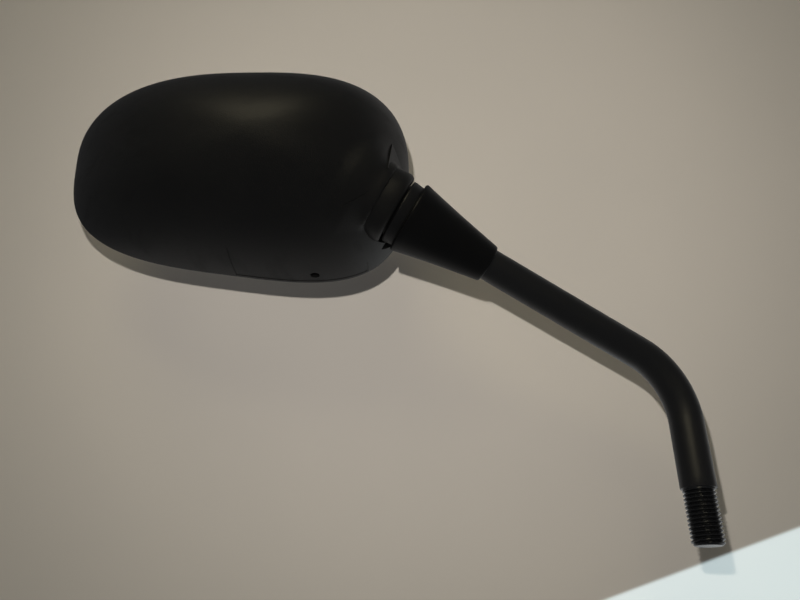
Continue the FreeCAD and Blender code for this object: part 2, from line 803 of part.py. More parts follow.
glass = prism(glass_inset, -5, pack_top).common(lens(glass_front)).cut(lens(glass_back))
feature("mirror_glass", glass)

gasket_slab = Part.makeBox(
    200, 200, size("gasket_depth") - size("gasket_front"), Vector(-100, -100, size("gasket_front"))
)
glass_room = prism(glass_inset - size("fit_gap"), -5, pack_top)
glass_room = glass_room.common(lens(glass_front - size("fit_gap")))
glass_room = glass_room.cut(lens(glass_back + size("fit_gap")))
gasket = cavity.common(gasket_slab).cut(glass_room)
gasket = gasket.cut(prism(glass_inset + size("gasket_lip"), -5, pack_top))
feature("glass_gasket", gasket)

relief = on_axis(collar_radius + size("carrier_relief"), housing_start - 1, size("housing_length") + 2)
foam = prism(glass_inset + size("foam_inset"), -5, pack_top).common(lens(glass_back)).cut(lens(foam_back))
feature("foam_pad", foam)

head_radius = size("screw_head_diameter") / 2
shank_radius = size("screw_diameter") / 2
carrier_slab = prism(glass_inset + size("carrier_inset"), -5, carrier_back)
carrier = carrier_slab.common(lens(foam_back)).cut(relief)


def plate_front(place):
    """Height of the plate's curved front at a post."""
    radius = size("glass_radius")
    return foam_back + radius - math.sqrt(radius**2 - place.x**2 - place.y**2)


screws = []
for place in post_places:
    face_height = plate_front(place) + size("screw_sink")
    base = place + up * face_height
    head = Part.makeCone(head_radius, shank_radius, size("screw_head_height"), base, up)
    clearance = size("fit_gap")
    sink = Part.makeCone(
        head_radius + clearance, shank_radius + clearance, size("screw_head_height"), base, up
    )
    way_in = Part.makeCylinder(head_radius + clearance, 3, base - up * 3, up)
    hole = Part.makeCylinder(shank_radius + clearance, carrier_back, base, up)
    carrier = carrier.cut([sink, way_in, hole])
    shank = Part.makeCylinder(shank_radius - clearance, size("screw_length"), base, up)
    slot = Part.makeBox(
        2 * head_radius,
        size("screw_slot"),
        size("screw_head_height") / 2,
        base - Vector(head_radius, size("screw_slot") / 2, 0),
    )
    screws.append(head.fuse(shank).cut(slot).removeSplitter())
feature("carrier_plate", carrier)
feature("carrier_screws", Part.makeCompound(screws))

# ---- checks and files -------------------------------------------------------------------------------------------------------------

doc.recompute()
for item in doc.Objects:
    if "Invalid" in item.State or "Error" in item.State:
        raise RuntimeError(f"{item.Name} did not recompute: {item.State}")

os.makedirs("parts", exist_ok=True)
for item in subparts:
    shape = item.Shape
    if shape.isNull() or not shape.isValid() or shape.Volume <= 0:
        raise RuntimeError(f"{item.Label} has no valid shape")
    shape.exportStep(f"parts/{item.Label}.step")
    box = shape.BoundBox
    print(
        f"{item.Label}: {len(shape.Solids)} solid(s), {shape.Volume:.0f} mm3, "
        f"x {box.XMin:.1f}..{box.XMax:.1f} y {box.YMin:.1f}..{box.YMax:.1f} z {box.ZMin:.1f}..{box.ZMax:.1f}"
    )
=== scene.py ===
import math

import bmesh
import bpy
from mathutils import Matrix, Vector


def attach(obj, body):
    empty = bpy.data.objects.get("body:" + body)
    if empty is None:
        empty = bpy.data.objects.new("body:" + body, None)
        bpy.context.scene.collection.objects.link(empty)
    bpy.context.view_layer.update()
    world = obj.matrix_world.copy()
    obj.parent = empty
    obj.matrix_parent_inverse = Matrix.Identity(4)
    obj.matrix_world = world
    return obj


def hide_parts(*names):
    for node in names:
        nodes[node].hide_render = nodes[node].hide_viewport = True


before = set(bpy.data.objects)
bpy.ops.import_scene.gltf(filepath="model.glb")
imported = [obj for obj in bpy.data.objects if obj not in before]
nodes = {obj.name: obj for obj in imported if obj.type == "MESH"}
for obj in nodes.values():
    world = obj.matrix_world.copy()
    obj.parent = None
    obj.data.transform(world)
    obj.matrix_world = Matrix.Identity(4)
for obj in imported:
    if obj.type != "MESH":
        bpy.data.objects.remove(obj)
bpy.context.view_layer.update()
print("nodes of the frame:", len(nodes))

# %% [markdown]
# ## Two places to work from
# Nearly every piece is either turned about the ball joint's axis or follows the outline of the shell's rim.
# So two places are worked out once from the stem's bend and the head's tilt: one at the ball, its Z along
# the upper stem and towards the bend, and one at the middle of the rim, its Z the depth of the shell.
# Pieces are modelled flat in one of them and then moved. Working straight in the tilted place would need
# turned numbers everywhere.
# %% Joint place and head place
MM = 0.001
LOWER_STEM = 37.7
BEND_RADIUS = 25.0
BEND_ANGLE = math.radians(65.3)
BEND_TURN = math.radians(16.7)
BALL_DISTANCE = 119.5
BALL_IN_HEAD = Vector((50.9, -11.1, 18.25))
HEAD_TILT = math.radians(17.25)
HEAD_ROLL = math.radians(2.55)

stem_turn = Matrix.Rotation(BEND_TURN, 4, "Z")
arm = stem_turn @ Vector((math.sin(BEND_ANGLE), 0, math.cos(BEND_ANGLE)))
ball = Vector((0, 0, LOWER_STEM)) + arm * BALL_DISTANCE
level = Vector((0, 0, 1)).cross(-arm).normalized()
joint_axes = Matrix((level, (-arm).cross(level), -arm)).transposed()
joint_place = Matrix.Translation(ball * MM) @ joint_axes.to_4x4() @ Matrix.Scale(MM, 4)

from_behind = Matrix(((-1, 0, 0), (0, 0, 1), (0, 1, 0))).to_4x4()
head_turn = Matrix.Rotation(-HEAD_TILT, 4, "X") @ from_behind @ Matrix.Rotation(-HEAD_ROLL, 4, "Z")
head_origin = ball - head_turn @ BALL_IN_HEAD
head_place = Matrix.Translation(head_origin * MM) @ head_turn @ Matrix.Scale(MM, 4)
stem_place = stem_turn @ Matrix.Scale(MM, 4)
joint_in_head = head_place.inverted() @ joint_place
print("ball at", tuple(round(v, 2) for v in ball), "mm")

# %% [markdown]
# ## Small tools
# All selection is done in code. An operator works on everything that is selected, so each helper first
# deselects the whole scene, and edit mode always starts with nothing selected.
# %% Helpers for objects and edit mode
POINT = 0.0001


def pick(piece):
    """Selects one object and makes it the active one."""
    bpy.ops.object.select_all(action="DESELECT")
    piece.select_set(True)
    bpy.context.view_layer.objects.active = piece


def add_circle(name, seats):
    """A circle of that many vertices. Each vertex keeps its seat number through every later extrusion."""
    bpy.ops.object.select_all(action="DESELECT")
    bpy.ops.mesh.primitive_circle_add(vertices=seats, radius=1.0, fill_type="NOTHING")
    piece = bpy.context.active_object
    piece.name = name
    piece.data.name = name
    bpy.ops.object.mode_set(mode="EDIT")
    mesh = bmesh.from_edit_mesh(piece.data)
    seat_layer = mesh.verts.layers.int.new("seat")
    mesh.verts.ensure_lookup_table()
    ordered = sorted(mesh.verts, key=lambda vert: math.atan2(vert.co.y, vert.co.x) % (2 * math.pi))
    for seat, vert in enumerate(ordered):
        vert[seat_layer] = seat
    bmesh.update_edit_mesh(piece.data)
    bpy.ops.mesh.select_all(action="SELECT")
    return piece


def shape_ring(piece, place_of):
    """Puts the selected ring where place_of says: it gets a seat number and gives a point."""
    mesh = bmesh.from_edit_mesh(piece.data)
    seat_layer = mesh.verts.layers.int["seat"]
    for vert in mesh.verts:
        if vert.select:
            vert.co = place_of(vert[seat_layer])
    bmesh.update_edit_mesh(piece.data, loop_triangles=False)


def ring_stack(name, rings, seats):
    """A skin through a list of rings, made by extruding a circle again and again.

    An end is closed when its ring is drawn to a point. The first and the last ring are never joined to each
    other, so a piece with a bore keeps an open band between them.
    """
    piece = add_circle(name, seats)
    shape_ring(piece, rings[0])
    for ring in rings[1:]:
        bpy.ops.mesh.extrude_region_move()
        shape_ring(piece, ring)
    bpy.ops.mesh.select_all(action="SELECT")
    bpy.ops.mesh.remove_doubles(threshold=0.0005)
    bpy.ops.mesh.normals_make_consistent(inside=False)
    bpy.ops.mesh.select_all(action="DESELECT")
    bpy.ops.object.mode_set(mode="OBJECT")
    return piece


def round_ring(radius, height, seats):
    """A circular ring, as a rule for shape_ring."""

    def place_of(seat):
        angle = 2 * math.pi * seat / seats
        return Vector((radius * math.cos(angle), radius * math.sin(angle), height))

    return place_of


def turned(name, profile, seats=96):
    """A piece turned about its own Z from (radius, height) corners, in millimetres."""
    rings = [round_ring(radius, height, seats) for radius, height in profile]
    return ring_stack(name, rings, seats)


def settle(piece, place):
    """Moves a finished piece into the row's frame, with its place in its mesh."""
    pick(piece)
    piece.matrix_world = place
    bpy.ops.object.transform_apply(location=True, rotation=True, scale=True)
    return piece


def smooth(piece, degrees=35):
    pick(piece)
    bpy.ops.object.shade_smooth_by_angle(angle=math.radians(degrees))


def apply_all(piece):
    pick(piece)
    for modifier in list(piece.modifiers):
        bpy.ops.object.modifier_apply(modifier=modifier.name)


def combine(piece, tools, operation):
    """Cuts with, or adds, each tool in turn, and removes the tools."""
    for tool in tools:
        modifier = piece.modifiers.new(operation.lower(), "BOOLEAN")
        modifier.operation = operation
        modifier.solver = "EXACT"
        modifier.object = tool
        apply_all(piece)
        mesh = tool.data
        bpy.data.objects.remove(tool)
        bpy.data.meshes.remove(mesh)
    return piece


def join(piece, *others):
    """Joins pieces into one object, as one moulding."""
    pick(piece)
    for other in others:
        other.select_set(True)
    bpy.ops.object.join()
    return piece


def count_faces(piece):
    triangles = sum(len(face.vertices) - 2 for face in piece.data.polygons)
    print(f"{piece.name}: {triangles} triangles")


# %% [markdown]
# ## The outline and the dome
# The rim is a rounded oblong, a little taller towards the stem. A superellipse draws such a shape with one
# number for how square its corners are. The dome is the same outline, drawn in ring by ring along a curve
# and slid towards the stem as it rises. A subdivided box would be quicker, but its corners never come out
# as full.
# %% Outline and dome rules
HALF_LENGTH = 61.2
HALF_HEIGHT = 37.1
HEAD_DEPTH = 42.5
TAPER = 0.114
POWER_TOP = 2.76
POWER_BOTTOM = 3.19
DOME_POWER = 1.96
DOME_START = 0.28
APEX_X = 12.5
APEX_Y = 1.0
WALL = 2.4
RIM_SEATS = 192


def dome_scale(share):
    """Width of the dome at a share of its depth, against the width of its rim."""
    level_share = DOME_START + share * (1 - DOME_START)
    start = DOME_START**DOME_POWER
    return max(0.0, (1 - level_share**DOME_POWER) / (1 - start)) ** (1 / DOME_POWER)


def outline_ring(inset, height, share=0.0, seats=RIM_SEATS):
    """The dome's ring at a share of its depth, drawn in by the inset."""
    scale = dome_scale(share)

    def place_of(seat):
        angle = 2 * math.pi * seat / seats
        across, up = math.cos(angle), math.sin(angle)
        power = POWER_TOP if up > 0 else POWER_BOTTOM
        reach = (abs(across) ** power + abs(up) ** power) ** (-1 / power)
        widening = 1 + TAPER * across * reach
        x = (HALF_LENGTH - inset) * across * reach * scale + APEX_X * share
        y = (HALF_HEIGHT - inset) * widening * up * reach * scale + APEX_Y * share
        return Vector((x, y, height))

    return place_of


def dome_rings(inset, steps, start=0.0):
    """Rings from the rim to the apex, spaced evenly along the dome's curve."""
    depth = HEAD_DEPTH - inset
    low = math.asin(DOME_START + start * (1 - DOME_START))
    rings = []
    for step in range(steps + 1):
        angle = low + (math.pi / 2 - low) * step / steps
        share = (math.sin(angle) - DOME_START) / (1 - DOME_START)
        rings.append(outline_ring(inset, depth * share, share))
    return rings


# %% [markdown]
# ## The moulded shell
# On the real mirror the shell swells into a thick neck where the ball joint sits, with no seam between
# them. The dome and a turned neck are joined with a union and remeshed to one even grid, and the fillet of
# a moulding is then worked out on that grid. Cutting the hollow, the bore, the drain hole and the bare
# panel comes last, so that those edges stay crisp.
# %% Dome and neck as one skin
COLLAR_RADIUS = 12.75
COLLAR_END = 8.2
COLLAR_LENGTH = 6.4
NECK_START = COLLAR_END - COLLAR_LENGTH
HOUSING_LENGTH = 31.7
HOUSING_START = COLLAR_END - HOUSING_LENGTH
BORE_RADIUS = 11.0
NECK_DEEP = 13.9
NECK_ROOT = 13.05
NECK_END = -24.0
RIM_SKIRT = 3.0
VOXEL = 0.65

skirt = [outline_ring(0, -RIM_SKIRT * 0.999, 0), outline_ring(0, -RIM_SKIRT / 2, 0)]
bottom = round_ring(POINT, -RIM_SKIRT, RIM_SEATS)
shell = ring_stack("head_shell", [bottom] + skirt + dome_rings(0, 44), RIM_SEATS)
neck = turned(
    "neck",
    [(POINT, NECK_END), (NECK_DEEP, NECK_END), (NECK_ROOT, NECK_START), (POINT, NECK_START)],
)
settle(neck, joint_in_head)
combine(shell, [neck], "UNION")
count_faces(shell)

remesh = shell.modifiers.new("one_skin", "REMESH")
remesh.mode = "VOXEL"
remesh.voxel_size = VOXEL
apply_all(shell)
print("remeshed:", len(shell.data.vertices), "vertices")

# %% [markdown]
# A fillet is where two forms run into each other. Smoothing the grid by hand would also shrink the dome, so
# the fillet is worked out: each form has a distance, the two distances are blended where both are small,
# and every vertex near the crossing moves onto the blended surface. The blend fades out towards the
# collar's root, which stays sharp. A light smoothing at the end takes the grid's ripple out.
# %% Fillet between dome and neck
to_joint = joint_in_head.inverted()
BLEND = 7.0
BLEND_FADE = 8.0
BLEND_END = -17.0
LEAST_BLEND = 0.02
FILLET_END = -26.0
FILLET_LEVEL = 4.0
FILLET_STEPS = 4
LARGEST_MOVE = 1.5


def dome_level(point):
    """Below 1 inside the dome, 1 on its surface and above 1 outside."""
    share = min(max(point.z / HEAD_DEPTH, 0.0), 0.999)
    scale = dome_scale(share)
    x = (point.x - APEX_X * share) / (HALF_LENGTH * scale)
    y = (point.y - APEX_Y * share) / (HALF_HEIGHT * scale * (1 + TAPER * max(-1.0, min(1.0, x))))
    power = POWER_TOP if y > 0 else POWER_BOTTOM
    return (abs(x) ** power + abs(y) ** power) ** (1 / power)


def slope_of(rule, point, step=0.05):
    """How a rule of the point changes along x, y and z."""
    changes = []
    for axis in range(3):
        move = Vector((0, 0, 0))
        move[axis] = step
        changes.append((rule(point + move) - rule(point - move)) / (2 * step))
    return Vector(changes)


def dome_distance(point):
    return (dome_level(point) - 1) / max(slope_of(dome_level, point).length, 0.005)


def neck_distance(point):
    in_joint = to_joint @ point
    share = min(1.0, (in_joint.z - NECK_END) / (NECK_START - NECK_END))
    return math.hypot(in_joint.x, in_joint.y) - (NECK_DEEP + (NECK_ROOT - NECK_DEEP) * share)


def blended(point):
    """Distance to the union of dome and neck, with the crossing filled."""
    first, second = dome_distance(point), neck_distance(point)
    along = (to_joint @ point).z
    fade = min(1.0, (NECK_START + 1.0 - along) / BLEND_FADE, (along - BLEND_END) / BLEND_FADE)
    reach = BLEND * max(LEAST_BLEND, fade)
    share = min(1.0, max(0.0, 0.5 + 0.5 * (second - first) / reach))
    return second + (first - second) * share - reach * share * (1 - share)


pick(shell)
bpy.ops.object.mode_set(mode="EDIT")
bpy.ops.mesh.select_all(action="DESELECT")
skin = bmesh.from_edit_mesh(shell.data)
moved = 0
for vert in skin.verts:
    in_joint = to_joint @ vert.co
    if vert.co.z < FILLET_LEVEL or not FILLET_END < in_joint.z < NECK_START - 0.4:
        continue
    if abs(neck_distance(vert.co)) > BLEND or abs(dome_distance(vert.co)) > BLEND:
        continue
    for _ in range(FILLET_STEPS):
        gap = max(-LARGEST_MOVE, min(LARGEST_MOVE, blended(vert.co)))
        slope = slope_of(blended, vert.co)
        vert.co = vert.co - slope * (gap / max(slope.length_squared, 0.1))
    moved += 1
bmesh.update_edit_mesh(shell.data)
bpy.ops.object.mode_set(mode="OBJECT")
print("vertices moved onto the fillet:", moved)

softener = shell.modifiers.new("soften", "SMOOTH")
softener.factor = 0.5
softener.iterations = 8
apply_all(shell)

# %% [markdown]
# ## Cuts in the shell
# A mould leaves crisp edges where steel meets steel: the rim, the hollow, the bore for the ball joint, the
# room round the sleeve's mouth and the drain hole. Each is a cutter of its own, taken away with a
# difference. The shallow bare panel low on the wall follows the dome, so its cutter is a patch of the dome
# itself, thickened a little way in.
# %% Hollow, bore, drain hole and panel
DRAIN_RADIUS = 1.65
DRAIN_X = 30.8
DRAIN_Z = 5.6
PANEL_LEFT, PANEL_RIGHT = 2.3, 49.0
PANEL_BOTTOM, PANEL_TOP = 1.5, 17.3
PANEL_SLOPE = 29.0
PANEL_DEPTH = 0.14
PANEL_PROUD = 1.0
CUT_END = 44.0
DRAIN_WALL = -22.0
DRAIN_CUT = 26.0

hollow = ring_stack(
    "hollow",
    [round_ring(POINT, -RIM_SKIRT - 2, RIM_SEATS), outline_ring(WALL - 0.5, -RIM_SKIRT - 2)]
    + [outline_ring(WALL - 0.5, -0.01), outline_ring(WALL - 0.15, 0.15), outline_ring(WALL, 0.5)]
    + dome_rings(WALL, 30, start=0.02),
    RIM_SEATS,
)
rim_cut = ring_stack(
    "rim_cut",
    [round_ring(POINT, 0.0, RIM_SEATS), outline_ring(-5, 0.0), outline_ring(-5, -9.0)]
    + [round_ring(POINT, -9.0, RIM_SEATS)],
    RIM_SEATS,
)
BORE_CUT = BORE_RADIUS + 1.2
bore = turned(
    "bore",
    [(POINT, HOUSING_START - 3), (BORE_CUT, HOUSING_START - 3), (BORE_CUT, 16.0), (POINT, 16.0)],
)
settle(bore, joint_in_head)
ROOM_RADIUS = 14.9
ROOM_START = 10.1
sleeve_room = turned(
    "sleeve_room",
    [(POINT, ROOM_START), (ROOM_RADIUS, ROOM_START), (ROOM_RADIUS, CUT_END), (POINT, CUT_END)],
)
settle(sleeve_room, joint_in_head)
drain_profile = [(POINT, 0), (DRAIN_RADIUS, 0), (DRAIN_RADIUS, DRAIN_CUT), (POINT, DRAIN_CUT)]
drain = turned("drain", drain_profile, seats=40)
drain_turn = Matrix.Rotation(math.radians(90), 4, "X")
settle(drain, Matrix.Translation((DRAIN_X, DRAIN_WALL, DRAIN_Z)) @ drain_turn)

panel = ring_stack("panel", dome_rings(0, 60)[:-1], RIM_SEATS)
pick(panel)
bpy.ops.object.mode_set(mode="EDIT")
PANEL_EDGES = (
    ((PANEL_LEFT, 0, 0), (-1, 0, 0)),
    ((PANEL_RIGHT, 0, 0), (1, 0, 0)),
    ((0, 0, PANEL_BOTTOM), (0, 0, -1)),
    ((0, 0, PANEL_TOP), (0, 0, 1)),
    ((PANEL_SLOPE, 0, PANEL_TOP), (0.45, 0, 0.893)),
    ((0, -15, 0), (0, 1, 0)),
)
for point, away in PANEL_EDGES:
    bpy.ops.mesh.select_all(action="SELECT")
    bpy.ops.mesh.bisect(plane_co=point, plane_no=away, clear_outer=True)
bpy.ops.mesh.select_all(action="SELECT")
bpy.ops.mesh.normals_make_consistent(inside=False)
bpy.ops.object.mode_set(mode="OBJECT")
if panel.data.polygons[0].normal.y > 0:
    panel.data.flip_normals()
sheet = panel.modifiers.new("thicken", "SOLIDIFY")
sheet.thickness = PANEL_DEPTH + PANEL_PROUD
sheet.offset = (PANEL_PROUD - PANEL_DEPTH) / (PANEL_PROUD + PANEL_DEPTH)
apply_all(panel)

# %% [markdown]
# Two small marks of the mould remain beside the neck: a fine line that runs up to it, and a little flat
# facet on the end wall, like the face of a small web. The line is a thin tube laid along the skin and cut
# away. The facet is a three-sided prism whose corners are found on the skin and lifted a little.
# %% Fine line and facet
LINE_START = Vector((41.2, -18.7, 31.5))
LINE_END = Vector((49.4, -13.5, 31.6))
LINE_RADIUS = 0.17
LINE_STEPS = 24
FACET_CORNERS = (Vector((55.2, 7.3, 20.5)), Vector((54.2, -4.6, 29.5)), Vector((58.5, 1.2, 13.8)))
FACET_LIFTS = (0.2, 0.7, 0.6)
FACET_SUNK = 6.0
FACET_SPREAD = 0.6


def tube_ring(centre, along, radius, seats=8):
    """A small ring round a path that runs in the direction along."""
    side = along.cross(Vector((0, 0, 1))).normalized()
    over = side.cross(along).normalized()

    def place_of(seat):
        angle = 2 * math.pi * seat / seats
        return centre + (side * math.cos(angle) + over * math.sin(angle)) * radius

    return place_of


line_points = []
for step in range(LINE_STEPS + 1):
    line_points.append(shell.closest_point_on_mesh(LINE_START.lerp(LINE_END, step / LINE_STEPS))[1])
way = (LINE_END - LINE_START).normalized()
line_rings = [tube_ring(line_points[0], way, POINT)]
for step, point in enumerate(line_points):
    line_rings.append(tube_ring(point, way, LINE_RADIUS * min(1.0, 0.25 + step / 8)))
line_rings.append(tube_ring(line_points[-1], way, POINT))
fine_line = ring_stack("fine_line", line_rings, 8)

first, second, third = FACET_CORNERS
facet_out = (second - first).cross(third - first).normalized()
if facet_out.x < 0:
    facet_out = -facet_out
facet_face = []
for corner, lift in zip(FACET_CORNERS, FACET_LIFTS):
    facet_face.append(shell.closest_point_on_mesh(corner)[1] + facet_out * lift)
facet_middle = (facet_face[0] + facet_face[1] + facet_face[2]) / 3


def facet_ring(sunk, spread=1.0):
    return lambda seat: facet_middle.lerp(facet_face[seat], spread) - facet_out * sunk


facet_rings = [facet_ring(0, POINT), facet_ring(0)]
facet_rings += [facet_ring(FACET_SUNK, FACET_SPREAD), facet_ring(FACET_SUNK, POINT)]
facet = ring_stack("facet", facet_rings, 3)
combine(shell, [facet], "UNION")
combine(shell, [hollow, rim_cut, bore, sleeve_room, drain, panel, fine_line], "DIFFERENCE")

# %% [markdown]
# The collar is the open end of the tube that holds the ball joint. It is turned as its own ring, with the
# rounded shoulder and the groove for its rubber seal, and joined to the shell, because a remeshed grid
# could not hold its sharp groove. The posts for the glass plate's screws stand inside, so they are plain
# round bars with a hole.
# %% Collar, housing tube and posts
SEAL_START = 6.6
SEAL_OUTSIDE = 11.9
collar_profile = [
    (12.3, HOUSING_START),
    (12.3, 0.0),
    (12.42, 1.8),
    (12.62, 3.2),
    (12.74, 4.4),
    (COLLAR_RADIUS, 5.4),
    (12.7, 6.3),
    (12.52, 7.0),
    (12.25, 7.5),
    (11.95, 7.8),
    (11.7, 7.9),
    (11.5, 7.86),
    (11.45, 7.7),
    (SEAL_OUTSIDE, 7.3),
    (SEAL_OUTSIDE, SEAL_START),
    (BORE_RADIUS, SEAL_START),
    (BORE_RADIUS, HOUSING_START),
]
collar = turned("collar", collar_profile, seats=128)
settle(collar, joint_in_head)

CARRIER_BACK = 6.4
POST_RADIUS = 3.5
PILOT_RADIUS = 1.45
PILOT_DEPTH = 11.0
POST_PLACES = ((-34.0, 14.0), (-34.0, -14.0), (18.0, 19.0), (18.0, -19.0))
posts = []
for number, (x, y) in enumerate(POST_PLACES):
    corner = Vector((x + math.copysign(POST_RADIUS, x), y + math.copysign(POST_RADIUS, y), CARRIER_BACK))
    while dome_level(corner + Vector((0, 0, 1.5))) < 1:
        corner.z += 0.25
    top = corner.z
    profile = [
        (PILOT_RADIUS, CARRIER_BACK),
        (POST_RADIUS, CARRIER_BACK),
        (POST_RADIUS, top),
        (POINT, top),
        (POINT, CARRIER_BACK + PILOT_DEPTH),
        (PILOT_RADIUS, CARRIER_BACK + PILOT_DEPTH),
    ]
    post = turned(f"post_{number}", profile, seats=32)
    settle(post, Matrix.Translation((x, y, 0)))
    posts.append(post)
join(shell, collar, *posts)
settle(shell, head_place)
smooth(shell, 32)
count_faces(shell)
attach(shell, "head")
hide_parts("rear_shell")

# %% [markdown]
# ## Ring, seal and sleeve
# These are turned parts on the joint's axis. The ring is screwed into the collar and closes over the ball,
# with four slots for a spanner inside the sleeve's mouth. The rubber seal fills the groove round it. The
# long sleeve hides the neck of the stem and is hollow, so that the head can tilt into its mouth. Spinning a
# profile would make them too. Extruding a circle ring by ring gives the same result and keeps an even grid.
# %% Retainer ring
SEAT_RADIUS = 10.5
SEAT_LOW = 1.4
SEAT_HIGH = 7.24
OPENING = 7.6
WAIST_RADIUS = 9.3
NOSE_RADIUS = 11.2
NOSE_START = 8.5
NOSE_END = 13.2
NOSE_REACH = 16.5
SPANNER_BAR = (19.2, 1.6, 2.0)
seat_arc = []
for step in range(13):
    height = SEAT_HIGH + (SEAT_LOW - SEAT_HIGH) * step / 12
    seat_arc.append((math.sqrt(SEAT_RADIUS**2 - height**2), height))
ring_profile = [
    (BORE_RADIUS - 0.02, SEAT_LOW),
    (BORE_RADIUS - 0.02, SEAL_START),
    (WAIST_RADIUS, SEAL_START),
    (WAIST_RADIUS, NOSE_START - 0.2),
    (WAIST_RADIUS + 0.2, NOSE_START),
    (NOSE_RADIUS - 0.55, NOSE_START),
    (NOSE_RADIUS - 0.2, NOSE_START + 0.12),
    (NOSE_RADIUS - 0.03, NOSE_START + 0.4),
    (NOSE_RADIUS - 0.02, NOSE_START + 0.8),
    (NOSE_RADIUS - 0.3, 12.0),
]
# The end of the nose lies inside a sphere about the ball, so it clears the sleeve's mouth however the head
# tilts.
for radius in (10.8, 10.5, 10.2, 9.95):
    ring_profile.append((radius, math.sqrt(NOSE_REACH**2 - radius**2)))
ring_profile += [(9.6, NOSE_END), (8.3, NOSE_END), (7.95, 13.05), (7.75, 12.7), (OPENING, 12.1)] + seat_arc
neck_ring = turned("neck_ring", ring_profile, seats=128)
slots = []
for number in range(2):
    bpy.ops.object.select_all(action="DESELECT")
    bpy.ops.mesh.primitive_cube_add(size=1.0, location=(0, 0, NOSE_END))
    bar = bpy.context.active_object
    bar.scale = SPANNER_BAR
    bar.rotation_euler = (0, 0, math.pi / 2 * number)
    bpy.ops.object.transform_apply(location=True, rotation=True, scale=True)
    slots.append(bar)
combine(neck_ring, slots, "DIFFERENCE")
settle(neck_ring, joint_place)
smooth(neck_ring, 30)
count_faces(neck_ring)
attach(neck_ring, "head")
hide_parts("retainer_ring")

# %% Rubber seal
seal_profile = [
    (WAIST_RADIUS + 0.03, SEAL_START),
    (SEAL_OUTSIDE - 0.01, SEAL_START),
    (SEAL_OUTSIDE - 0.01, 7.2),
    (11.7, 7.45),
    (11.4, 7.55),
    (11.0, 7.48),
    (10.6, 7.46),
    (10.1, 7.55),
    (9.6, 7.52),
    (WAIST_RADIUS + 0.03, 7.3),
]
seal_ring = turned("seal_ring", seal_profile, seats=96)
settle(seal_ring, joint_place)
smooth(seal_ring, 40)
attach(seal_ring, "head")
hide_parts("collar_seal")

# %% Sleeve over the neck
ROD_RADIUS = 5.5
MOUTH = 12.4
MOUTH_RADIUS = 12.6
TIP_RADIUS = 6.5
SLEEVE_LENGTH = 31.3
SLEEVE_WALL = 1.3
CAVITY = 17.6
BORE_GAP = 0.02
GROOVE_PLACE = 5.0
GROOVE_SIZE = 1.6
BELLY = 0.18
sleeve_end = MOUTH + SLEEVE_LENGTH
slope = (MOUTH_RADIUS - TIP_RADIUS) / SLEEVE_LENGTH
cavity_end = MOUTH + CAVITY
cavity_radius = MOUTH_RADIUS - SLEEVE_WALL - slope * CAVITY
ring_groove = cavity_end + GROOVE_PLACE
outside = [
    (MOUTH_RADIUS - SLEEVE_WALL, MOUTH + 0.35),
    (MOUTH_RADIUS - SLEEVE_WALL + 0.1, MOUTH + 0.1),
    (MOUTH_RADIUS - SLEEVE_WALL + 0.3, MOUTH),
    (MOUTH_RADIUS - 0.7, MOUTH + 0.06),
    (MOUTH_RADIUS - 0.4, MOUTH + 0.25),
    (MOUTH_RADIUS - 0.2, MOUTH + 0.55),
    (MOUTH_RADIUS - 0.14, MOUTH + 0.95),
]
for step in range(1, 16):
    height = MOUTH + 0.95 + (SLEEVE_LENGTH - 1.7) * step / 16
    belly = BELLY * math.sin(math.pi * step / 16)
    outside.append((MOUTH_RADIUS - slope * (height - MOUTH) - belly, height))
outside += [
    (TIP_RADIUS + 0.12, sleeve_end - 0.75),
    (TIP_RADIUS + 0.02, sleeve_end - 0.4),
    (TIP_RADIUS - 0.16, sleeve_end - 0.12),
    (TIP_RADIUS - 0.45, sleeve_end),
]
inside = [
    (ROD_RADIUS + 0.12, sleeve_end),
    (ROD_RADIUS + BORE_GAP, sleeve_end - 0.15),
    (ROD_RADIUS + BORE_GAP, ring_groove + GROOVE_SIZE),
    (ROD_RADIUS + GROOVE_SIZE, ring_groove + GROOVE_SIZE),
    (ROD_RADIUS + GROOVE_SIZE, ring_groove),
    (ROD_RADIUS + BORE_GAP, ring_groove),
    (ROD_RADIUS + BORE_GAP, cavity_end),
    (cavity_radius, cavity_end),
]
cone_cover = turned("cone_cover", outside + inside, seats=160)
settle(cone_cover, joint_place)
smooth(cone_cover, 40)
count_faces(cone_cover)
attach(cone_cover, "stem")
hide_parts("cone_sleeve")

# %% [markdown]
# ## Bent stem with a rolled thread
# The stem is one steel bar. A curve with a round bevel could draw it, but then the thread would need
# another object. Here a circle walks along the path: ring by ring up the thread, round the bend and out to
# the ball. Each ring of the thread reads its radius from a helix, so the ridges climb as a real M10 thread
# does and fade out at both ends.
# %% Stem
STEM_SEATS = 96
THREAD_RADIUS = 4.95
THREAD_DEPTH = 0.72
THREAD_PITCH = 1.25
THREAD_LENGTH = 17.0
THREAD_ROWS = 156
CREST_HALF = 0.16
ROOT_HALF = 0.08
RUN_OUT = 0.9
CHAMFER = 0.9
CHAMFER_SLOPE = 1.1
SPIGOT_RADIUS = 4.0
SPIGOT_END = BALL_DISTANCE + 7.8
SHOULDER = BALL_DISTANCE - 15.5
CLIP_GROOVE = 0.35
CLIP_LOW = BALL_DISTANCE - 24.0
CLIP_HIGH = BALL_DISTANCE - 22.98
straight_end = LOWER_STEM - BEND_RADIUS * math.tan(BEND_ANGLE / 2)


